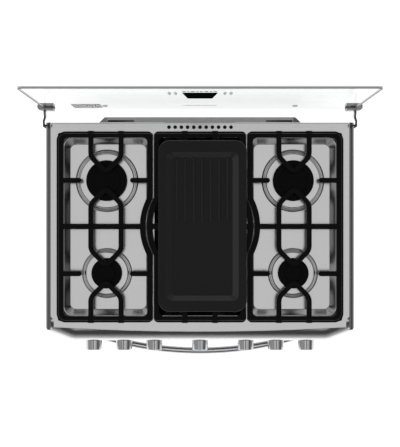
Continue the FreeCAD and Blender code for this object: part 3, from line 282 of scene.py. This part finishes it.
def lid_glass(name, half_w, z0, z1, y0, y1):
    """Clear toughened glass: grey ground edges with painted shade on their front half, faint tint, a painted
    reflection band that greys the middle, soft real reflections.
    """
    m = Net(name)
    p = m.pos()
    px, py, pz = m.xyz(p)
    geo = m.n("ShaderNodeNewGeometry")
    nx, ny, nz = m.xyz(geo.outputs["True Normal"])
    edge = m.math("LESS_THAN", m.math("ABSOLUTE", ny), 0.6)
    smear = m.noise(m.scaled(p, (6, 6, 11)), 1.0, 4.0, 0.55, 0.8)
    grind = m.noise(m.scaled(p, (50, 1800, 50)), 1.0, 3.0)
    # painted reflection: a grey band, strongest across the middle and at mid height, darkens the see-through
    # colour
    across = m.ramp(m.math("DIVIDE", m.math("ABSOLUTE", px), half_w), [(0.72, 1.0), (0.80, 0.0)])
    up = m.ramp(m.math("DIVIDE", m.math("SUBTRACT", pz, z0), z1 - z0), [(0.05, 0.2), (0.2, 1.0), (0.62, 0.8), (0.9, 0.0)])
    painted_reflection_band = m.math("MULTIPLY", across, m.math("MULTIPLY", up, m.lerp(smear, 0.6, 1.0)))
    clear = m.n("ShaderNodeBsdfTransparent", {"Color": m.mix(painted_reflection_band, (0.992, 0.993, 0.993), (0.955, 0.956, 0.957))})
    gloss = m.n("ShaderNodeBsdfGlossy", {"Color": (0.9, 0.9, 0.9, 1),
                                         "Roughness": m.lerp(smear, 0.02, 0.06)})
    fres = m.n("ShaderNodeFresnel", {"IOR": 1.45}).outputs[0]
    f = m.math("MULTIPLY", fres, m.lerp(smear, 0.10, 0.16))
    body = m.n("ShaderNodeMixShader", {0: m.math("MINIMUM", f, 0.55), 1: clear, 2: gloss})
    # pencil-ground edge: the half towards the cook is painted darker as painted shade, the rear half light as
    # painted highlight, the underside all but clear
    half = m.n("ShaderNodeMapRange", {"Value": py, "From Min": y0 + (y1 - y0) * 0.38,
                                      "From Max": y0 + (y1 - y0) * 0.62}).outputs[0]
    edge_tone_painted_shade = m.mix(half, (0.30, 0.31, 0.31), (0.95, 0.96, 0.96))
    rim = m.bsdf(Base_Color=m.mix(m.math("MULTIPLY", grind, 0.12), edge_tone_painted_shade, (0.4, 0.405, 0.405)), Roughness=0.45,
                 Normal=m.bump(grind, 0.05, 0.0003))
    rim.inputs["Specular IOR Level"].default_value = 0.1
    low = m.math("MULTIPLY", m.math("LESS_THAN", pz, (z0 + z1) / 2),
                 m.math("GREATER_THAN", m.math("ABSOLUTE", nz), 0.5))
    dim = m.n("ShaderNodeBsdfTransparent", {"Color": (0.90, 0.905, 0.905, 1)})
    rim2 = m.n("ShaderNodeMixShader", {0: low, 1: rim, 2: dim})
    mix = m.n("ShaderNodeMixShader", {0: edge, 1: body, 2: rim2})
    return m.out(mix)


def clear_glass(name, tint=(0.86, 0.88, 0.88)):
    m = Net(name)
    p = m.pos()
    smear = m.noise(m.scaled(p, (7, 7, 13)), 1.0, 4.0, 0.55, 0.8)
    clear = m.n("ShaderNodeBsdfTransparent", {"Color": tuple(tint) + (1,)})
    gloss = m.n("ShaderNodeBsdfGlossy", {"Color": (0.9, 0.9, 0.9, 1), "Roughness": m.lerp(smear, 0.02, 0.08)})
    f = m.math("MULTIPLY", m.n("ShaderNodeFresnel", {"IOR": 1.5}).outputs[0], 0.9)
    return m.out(m.n("ShaderNodeMixShader", {0: f, 1: clear, 2: gloss}))


def oven_window(name, half_x, z0, z1):
    """Smoked oven glass with a printed black border that breaks up into dots."""
    m = Net(name)
    p = m.pos()
    px, py, pz = m.xyz(p)
    dx = m.math("SUBTRACT", half_x, m.math("ABSOLUTE", px))
    zc, hz = (z0 + z1) / 2, (z1 - z0) / 2
    dz = m.math("SUBTRACT", hz, m.math("ABSOLUTE", m.math("SUBTRACT", pz, zc)))
    d = m.math("MINIMUM", dx, dz)
    solid = m.math("LESS_THAN", d, 0.045)
    u = m.math("SUBTRACT", m.math("FRACT", m.math("MULTIPLY", px, 250.0)), 0.5)
    v = m.math("SUBTRACT", m.math("FRACT", m.math("MULTIPLY", pz, 250.0)), 0.5)
    rr = m.math("SQRT", m.math("ADD", m.math("MULTIPLY", u, u), m.math("MULTIPLY", v, v)))
    size = m.n("ShaderNodeMapRange", {"Value": d, "From Min": 0.045, "From Max": 0.085,
                                      "To Min": 0.48, "To Max": 0.0}).outputs[0]
    dots = m.math("LESS_THAN", rr, size)
    ink = m.math("MAXIMUM", solid, dots)
    smear = m.noise(m.scaled(p, (7, 7, 13)), 1.0, 4.0, 0.55, 0.8)
    black = m.bsdf(Base_Color=(0.006, 0.006, 0.007), Roughness=m.lerp(smear, 0.04, 0.09))
    clear = m.n("ShaderNodeBsdfTransparent", {"Color": (0.16, 0.16, 0.17, 1)})
    gloss = m.n("ShaderNodeBsdfGlossy", {"Color": (0.9, 0.9, 0.9, 1), "Roughness": m.lerp(smear, 0.03, 0.08)})
    f = m.n("ShaderNodeFresnel", {"IOR": 1.5}).outputs[0]
    see = m.n("ShaderNodeMixShader", {0: f, 1: clear, 2: gloss})
    return m.out(m.n("ShaderNodeMixShader", {0: ink, 1: see, 2: black}))


def plastic(name, base, rough=0.45, grain=600.0):
    m = Net(name)
    p = m.pos()
    g = m.noise(p, grain, 3.0)
    b = m.bsdf(Base_Color=m.mix(g, tuple(c * 0.9 for c in base), tuple(c * 1.06 for c in base)),
               Roughness=m.lerp(g, rough - 0.05, rough + 0.06), Normal=m.bump(g, 0.12, 0.0005))
    return m.out(b)


def brass(name):
    m = Net(name)
    p = m.pos()
    g = m.noise(m.scaled(p, (900, 40, 900)), 1.0, 3.0)
    c = m.noise(p, 55.0, 4.0, 0.6, 0.5)
    col = m.mix(m.ramp(c, [(0.35, 0.0), (0.75, 1.0)]), (0.72, 0.52, 0.22), (0.42, 0.27, 0.10))
    return m.out(m.bsdf(Base_Color=col, Metallic=1.0, Roughness=m.lerp(c, 0.22, 0.42),
                        Normal=m.bump(g, 0.08, 0.0004)))


def burner_alu(name):
    """Cast aluminium, browned by heat round the flame ports."""
    m = Net(name)
    p = m.pos()
    g = m.noise(p, 700.0, 4.0)
    c = m.noise(p, 40.0, 4.0)
    pz = m.xyz(p)[2]
    heat = m.n("ShaderNodeMapRange", {"Value": pz, "From Min": 0.897, "From Max": 0.904}).outputs[0]
    col = m.mix(c, (0.55, 0.55, 0.56), (0.68, 0.68, 0.69))
    col = m.mix(m.math("MULTIPLY", heat, 0.5), col, (0.33, 0.28, 0.22))
    return m.out(m.bsdf(Base_Color=col, Metallic=1.0, Roughness=m.lerp(g, 0.38, 0.55),
                        Normal=m.bump(g, 0.2, 0.0006)))


# --------------------------------------------------------------- materials
def rolled_rings(mat, centres):
    """Fine rolled beads round the burner wells, added to a brushed steel."""
    m = Net.__new__(Net)
    m.owner, m.t = mat, mat.node_tree
    shader = next(n for n in m.t.nodes if n.type == "BSDF_PRINCIPLED")
    old = next(n for n in m.t.nodes if n.type == "BUMP")
    px, py, pz = m.xyz(m.pos())
    near = None
    for cx, cy, radius in centres:
        ax, ay = m.math("SUBTRACT", px, cx), m.math("SUBTRACT", py, cy)
        r = m.math("SQRT", m.math("ADD", m.math("MULTIPLY", ax, ax), m.math("MULTIPLY", ay, ay)))
        away = m.math("SUBTRACT", r, radius)
        bead = m.math("SUBTRACT", 1.0, m.math("DIVIDE", m.math("ABSOLUTE", away), 0.0075), clamp=True)
        wave = m.math("MULTIPLY", m.math("SINE", m.math("MULTIPLY", away, 2 * math.pi / 0.0052)), bead)
        near = wave if near is None else m.math("ADD", near, wave)
    m.set(shader, "Normal", m.bump(near, 0.55, 0.0011, old.outputs[0]))
    return mat


STEEL = (0.60, 0.60, 0.61)
M = {}
M["cooktop"] = brushed("steel_cooktop", (0.64, 0.64, 0.64), 0.19, "x", 0.02, 0.02, 0.02, scuff=0.02, aniso=0.0)
M["panel"] = brushed("steel_panel", (0.78, 0.78, 0.785), 0.15, "x", 0.03, 0.03, 0.02, scuff=0.02, aniso=0.0)
M["door"] = brushed("steel_door", (0.58, 0.58, 0.59), 0.28, "x", 0.05, 0.06, 0.07)
M["handle"] = brushed("steel_handle", (0.70, 0.70, 0.71), 0.20, "x", 0.04, 0.05, 0.05, fine=700.0)
M["trim"] = painted("paint_trim", (0.20, 0.20, 0.205), 0.26, metal=0.8, peel_depth=0.04)
M["side"] = painted("paint_side", (0.15, 0.15, 0.155), 0.42)
M["zinc"] = zinc("zinc_sheet")
M["rear_cover"] = zinc("zinc_cover", (0.42, 0.42, 0.43), 0.38)
M["enamel"] = painted("oven_enamel", (0.016, 0.017, 0.020), 0.22, coat=0.6, speck=0.6)
M["door_inner"] = painted("door_enamel", (0.018, 0.018, 0.020), 0.25, coat=0.5, speck=0.5)
M["wool"] = wool("mineral_wool")
M["aluminised"] = brushed("aluminised_steel", (0.45, 0.45, 0.46), 0.45, "y", 0.1, 0.1, 0.1)
M["chrome_wire"] = satin_chrome("chrome_wire", (0.66, 0.66, 0.66), 0.14, "x")
M["seal"] = rope_seal("door_seal")
M["hinge"] = brushed("hinge_steel", (0.42, 0.42, 0.42), 0.38, "z", 0.08, 0.1, 0.1)
M["pipe"] = painted("black_pipe", (0.035, 0.035, 0.036), 0.5, peel=500.0, peel_depth=0.2)
M["brass"] = brass("valve_brass")
M["tubes"] = satin_chrome("aluminium_tube", (0.62, 0.62, 0.63), 0.33, "z")
M["bases"] = burner_alu("burner_cast")
M["heads"] = burner_alu("burner_head_cast")
M["caps"] = cast("cap_enamel", (0.004, 0.004, 0.004), 0.45, 900.0, 0.06, 0.05)
M["black_steel"] = painted("black_steel", (0.05, 0.05, 0.05), 0.38, metal=0.5)
M["clip"] = brushed("clip_steel", (0.26, 0.26, 0.26), 0.28, "x", 0.1, 0.05, 0.05)
M["screws"] = satin_chrome("zinc_screw", (0.60, 0.60, 0.58), 0.3, "z")
M["bumper"] = plastic("silicone_buffer", (0.80, 0.80, 0.80), 0.5)
M["grate"] = cast("grate_enamel", (0.004, 0.004, 0.004), 0.34, 420.0, 0.12, 0.06, polish=0.9)
M["griddle"] = cast("griddle_nonstick", (0.007, 0.007, 0.007), 0.30, 900.0, 0.06, 0.17, polish=1.0)
M["foot"] = plastic("foot_plastic", (0.02, 0.02, 0.02), 0.5)
M["stem"] = satin_chrome("stem_steel", (0.55, 0.55, 0.55), 0.28, "y")
g0, g1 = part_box("lid_glass")
M["lid_glass"] = lid_glass("lid_glass_clear", g1.x, g0.z, g1.z, g0.y, g1.y)
w0, w1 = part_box("door_window")
M["window"] = oven_window("oven_window_glass", w1.x, w0.z, w1.z)
M["inner_glass"] = clear_glass("oven_inner_glass")

ASSIGN = {
    "base_frame": "zinc", "side_panels": "side", "back_panel": "zinc", "rear_cover": "rear_cover",
    "cooktop": "cooktop", "side_trims": "trim", "control_panel": "panel", "oven_cavity": "enamel",
    "oven_insulation": "wool", "oven_floor_plate": "enamel", "oven_burner": "aluminised",
    "rack_guides": "chrome_wire", "door_gasket": "seal", "door_hinges": "hinge", "gas_manifold": "pipe",
    "gas_valves": "brass", "burner_tubes": "tubes", "burner_bases": "bases", "burner_heads": "heads",
    "burner_caps": "caps", "lid_hinge_brackets": "cooktop", "drawer_rails": "zinc",
    "oven_flue": "zinc", "body_screws": "screws", "lid_glass": "lid_glass", "lid_clips": "clip",
    "lid_arms": "black_steel", "lid_bumpers": "bumper", "door_outer": "door", "door_window": "window",
    "door_inner": "door_inner", "door_inner_glass": "inner_glass", "door_insulation": "wool",
    "door_handle": "handle", "hinge_arms": "hinge", "oven_rack": "chrome_wire",
    "drawer_front": "door", "drawer_box": "zinc", "grate_left": "grate", "grate_centre": "grate",
    "grate_right": "grate", "griddle": "griddle", "foot_front_left": "foot",
    "foot_front_right": "foot", "foot_rear_left": "foot", "foot_rear_right": "foot",
}
for i in range(1, 8):
    lo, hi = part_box("knob_%d" % i)
    xc, zc = (lo.x + hi.x) / 2, (lo.z + hi.z) / 2
    M["knob_%d" % i] = knob_finish("knob_chrome_%d" % i, xc, zc, 0.0196)
    ASSIGN["knob_%d" % i] = "knob_%d" % i
    ASSIGN["stem_%d" % i] = "stem"


def shade(obj, angle=32.0):
    """Weld split vertices together, as a modifier only."""
    mod = obj.modifiers.new("weld", "WELD")
    mod.merge_threshold = 0.00001
    return obj


caps_lo, caps_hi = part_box("burner_caps")
rows = ((0.1295, 0.0720), (-0.0989, 0.0565))
rolled_rings(M["cooktop"], [(cx, cy, r) for cx in (-0.230, 0.230) for cy, r in rows])

for name, obj in NODES.items():
    obj.data.materials.clear()
    obj.data.materials.append(M[ASSIGN[name]])


def soften(name, width, segments=2, angle=35.0):
    """Small worn edge radius on a CAD part, as modifiers only."""
    obj = NODES[name]
    w = obj.modifiers.new("weld", "WELD")
    w.merge_threshold = 0.00002
    b = obj.modifiers.new("edge", "BEVEL")
    b.width = width
    b.segments = segments
    b.limit_method = "ANGLE"
    b.angle_limit = math.radians(angle)
    b.use_clamp_overlap = True
    b.harden_normals = False
    b.miter_outer = "MITER_ARC"


for g in ("grate_left", "grate_centre", "grate_right"):
    soften(g, 0.0011, 2)
soften("lid_clips", 0.0006, 2)
soften("lid_arms", 0.0004, 2)
soften("door_handle", 0.0008, 2)


# ---------------------------------------------------------- new mesh pieces
def mesh_object(name, verts, faces, material, body, smooth=False):
    me = bpy.data.meshes.new(name)
    me.from_pydata([tuple(v) for v in verts], [], faces)
    me.validate()
    me.update()
    ob = bpy.data.objects.new(name, me)
    scene.collection.objects.link(ob)
    me.materials.append(material)
    if smooth:
        for poly in me.polygons:
            poly.use_smooth = True
    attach(ob, body)
    return ob


def rounded_outline(points, radius, steps=6):
    """Closed 2-D outline with rounded corners."""
    out = []
    n = len(points)
    for i in range(n):
        p0, p1, p2 = Vector(points[i - 1]), Vector(points[i]), Vector(points[(i + 1) % n])
        a, b = (p0 - p1).normalized(), (p2 - p1).normalized()
        ang = a.angle(b)
        t = radius / math.tan(ang / 2)
        s, e = p1 + a * t, p1 + b * t
        c = p1 + (a + b).normalized() * (radius / math.sin(ang / 2))
        a0 = math.atan2(s.y - c.y, s.x - c.x)
        a1 = math.atan2(e.y - c.y, e.x - c.x)
        d = (a1 - a0 + math.pi) % (2 * math.pi) - math.pi
        for k in range(steps + 1):
            th = a0 + d * k / steps
            out.append((c.x + radius * math.cos(th), c.y + radius * math.sin(th)))
    return out


def slab_xz(name, outline, y0, y1, material, body, slot=None):
    """Thin plate standing in the XZ plane."""
    n = len(outline)
    v = [(x, y0, z) for x, z in outline] + [(x, y1, z) for x, z in outline]
    f = [tuple(range(n)), tuple(range(2 * n - 1, n - 1, -1))]
    f += [(i, i + n, (i + 1) % n + n, (i + 1) % n) for i in range(n)]
    return mesh_object(name, v, f, material, body)


def print_ink(name, base):
    """Screen-printed ink: matt, with the mesh's faint grain."""
    m = Net(name)
    g = m.noise(m.pos(), 1400.0, 3.0)
    b = m.bsdf(Base_Color=m.mix(g, tuple(c * 0.8 for c in base), tuple(c * 1.2 for c in base)), Roughness=0.85,
               Normal=m.bump(g, 0.1, 0.0002))
    b.inputs["Specular IOR Level"].default_value = 0.0
    return m.out(b)


def plates_xz(name, outlines, y0, y1, material, body):
    """Several thin plates standing in the XZ plane, as one object."""
    v, f = [], []
    for outline in outlines:
        k, n = len(v), len(outline)
        v += [(x, y0, z) for x, z in outline] + [(x, y1, z) for x, z in outline]
        f += [tuple(k + i for i in range(n)), tuple(k + i for i in range(2 * n - 1, n - 1, -1))]
        f += [(k + i, k + i + n, k + (i + 1) % n + n, k + (i + 1) % n) for i in range(n)]
    return mesh_object(name, v, f, material, body)


def rect(x0, x1, z0, z1):
    return [(x0, z0), (x1, z0), (x1, z1), (x0, z1)]


# Blank badge, plain dashes and dots on the front of the glass: no letters
black_ink = print_ink("print_black", (0.0035, 0.0035, 0.0035))
dark_ink = print_ink("print_grey", (0.05, 0.05, 0.05))
pale_ink = print_ink("print_pale", (0.66, 0.67, 0.67))
fy0, fy1 = g0.y - 0.00016, g0.y - 0.00001
badge = rounded_outline([(-0.0273, 1.194), (0.0273, 1.194), (0.0385, 1.318), (-0.0385, 1.318)], 0.003)
plates_xz("lid_print", [badge], fy0, fy1, black_ink, "lid")
dash, x = [], -0.0370
for i, length in enumerate((0.0075, 0.0040, 0.0085, 0.0050, 0.0060, 0.0085, 0.0045, 0.0080)):
    dash.append(rect(x, x + length, 1.3345, 1.3455))
    x += length + 0.0030
plates_xz("lid_dashes", dash, fy0, fy1, black_ink, "lid")
fine = [rect(-0.040 + i * 0.0042, -0.040 + i * 0.0042 + (0.0026 if i % 5 else 0.0012), 1.029, 1.040)
        for i in range(19)]
hatch = []
for row in range(11):
    for i in range(23):
        if (i * 7 + row * 3) % 11:
            x0 = -0.302 + i * 0.0030 + (0.0012 if row % 2 else 0.0)
            hatch.append(rect(x0, x0 + 0.0023, 0.972 + row * 0.0092, 0.972 + row * 0.0092 + 0.0062))
plates_xz("lid_label", fine + hatch, fy0, fy1, dark_ink, "lid")
dots = []
for cx in (-0.0652, -0.0520, 0.0533, 0.0661):
    dots.append([(cx + 0.0036 * math.cos(t * math.pi / 8), 1.304 + 0.030 * math.sin(t * math.pi / 8))
                 for t in range(16)])
plates_xz("lid_marks", dots, fy0, fy1, pale_ink, "lid")


# -------------------------------------------------------- floor and lights
def studio_floor():
    me = bpy.data.meshes.new("floor")
    s = 14.0
    me.from_pydata([(-s, -s, -0.0005), (s, -s, -0.0005), (s, s, -0.0005), (-s, s, -0.0005)], [], [(0, 1, 2, 3)])
    ob = bpy.data.objects.new("floor", me)
    scene.collection.objects.link(ob)
    m = Net("studio_floor")
    n = m.noise(m.pos(), 3.0, 2.0)
    b = m.bsdf(Base_Color=m.mix(n, (0.86, 0.86, 0.86), (0.88, 0.88, 0.88)), Roughness=0.7)
    b.inputs["Emission Color"].default_value = (1, 1, 1, 1)
    b.inputs["Emission Strength"].default_value = 0.75
    me.materials.append(m.out(b))
    ob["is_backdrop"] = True
    return ob


studio_floor()

world = bpy.data.worlds.new("studio")
scene.world = world
w = Net("studio", world)
d = w.n("ShaderNodeTexCoord").outputs["Generated"]
dx, dy, dz = w.xyz(d)
# angle from straight up as a share of 180 degrees, and heading in plan
polar = w.math("DIVIDE", w.math("ARCCOSINE", w.math("MINIMUM", w.math("MAXIMUM", dz, -1.0), 1.0)), math.pi)
flat = w.math("MAXIMUM", w.math("SQRT", w.math("ADD", w.math("MULTIPLY", dx, dx), w.math("MULTIPLY", dy, dy))),
              0.0001)
hx, hy = w.math("DIVIDE", dx, flat), w.math("DIVIDE", dy, flat)


def by_angle(stops):
    return w.ramp(polar, [(deg / 180.0, v) for deg, v in stops])


front = by_angle([(0, 0.80), (15, 0.79), (21, 0.66), (27, 0.05), (47, 0.05), (58, 0.20), (77, 0.50), (92, 0.84)])
rear = by_angle([(0, 0.80), (15, 0.79), (21, 0.68), (28, 0.10), (46, 0.14), (60, 0.40), (77, 0.58), (92, 0.85)])
right = by_angle([(0, 0.80), (15, 0.79), (23, 0.62), (44, 0.50), (49, 0.13), (72, 0.10), (82, 0.26), (96, 0.7)])
left = by_angle([(0, 0.80), (15, 0.79), (23, 0.60), (30, 0.34), (60, 0.40), (77, 0.30), (96, 0.7)])
sky = w.mix(w.ramp(w.math("ADD", w.math("MULTIPLY", hy, 0.5), 0.5), [(0.42, 0.0), (0.58, 1.0)]), front, rear)
sky = w.mix(w.ramp(hx, [(0.62, 0.0), (0.82, 1.0)]), sky, right)
sky = w.mix(w.ramp(w.math("MULTIPLY", hx, -1.0), [(0.62, 0.0), (0.82, 1.0)]), sky, left)
rays = w.n("ShaderNodeLightPath")
seen = w.mix(rays.outputs["Is Camera Ray"], sky, (1.0, 1.0, 1.0))
bg = w.n("ShaderNodeBackground", {"Color": seen, "Strength": 1.0})
wo = w.n("ShaderNodeOutputWorld")
w.t.links.new(bg.outputs[0], wo.inputs[0])


def area(name, loc, target, size, size_y, power, spread=180.0, glossy=False):
    li = bpy.data.lights.new(name, "AREA")
    li.shape = "RECTANGLE"
    li.size, li.size_y = size, size_y
    li.energy = power
    li.spread = math.radians(spread)
    ob = bpy.data.objects.new(name, li)
    scene.collection.objects.link(ob)
    ob.location = loc
    ob.rotation_euler = (Vector(target) - Vector(loc)).to_track_quat("-Z", "Y").to_euler()
    ob.visible_glossy = glossy
    ob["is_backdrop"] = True
    return ob


area("key", (-1.6, -0.4, 5.2), (0, 0, 0.9), 2.6, 2.6, 34)
area("fill_front", (0.6, -4.2, 2.2), (0, 0, 0.7), 3.0, 1.4, 16)
area("fill_right", (4.0, 0.6, 2.4), (0, 0, 0.7), 1.6, 1.6, 8)

# ------------------------------------------------------------------ camera
cam_data = bpy.data.cameras.new("camera")
cam = bpy.data.objects.new("camera", cam_data)
scene.collection.objects.link(cam)
cam_data.sensor_width = 36.0
cam_data.lens = 1210.0 / 447.0 * 36.0
cam_data.shift_y = -2.5 / 447.0
cam_data.clip_start, cam_data.clip_end = 0.05, 60.0
cam.location = (0.0, 0.030, 0.900 + 2.984)
cam.rotation_euler = (0.0, 0.0, 0.0)
scene.camera = cam
scene.view_settings.view_transform = "Standard"
scene.view_settings.look = "None"
scene.view_settings.exposure = 0.0

lo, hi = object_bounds()
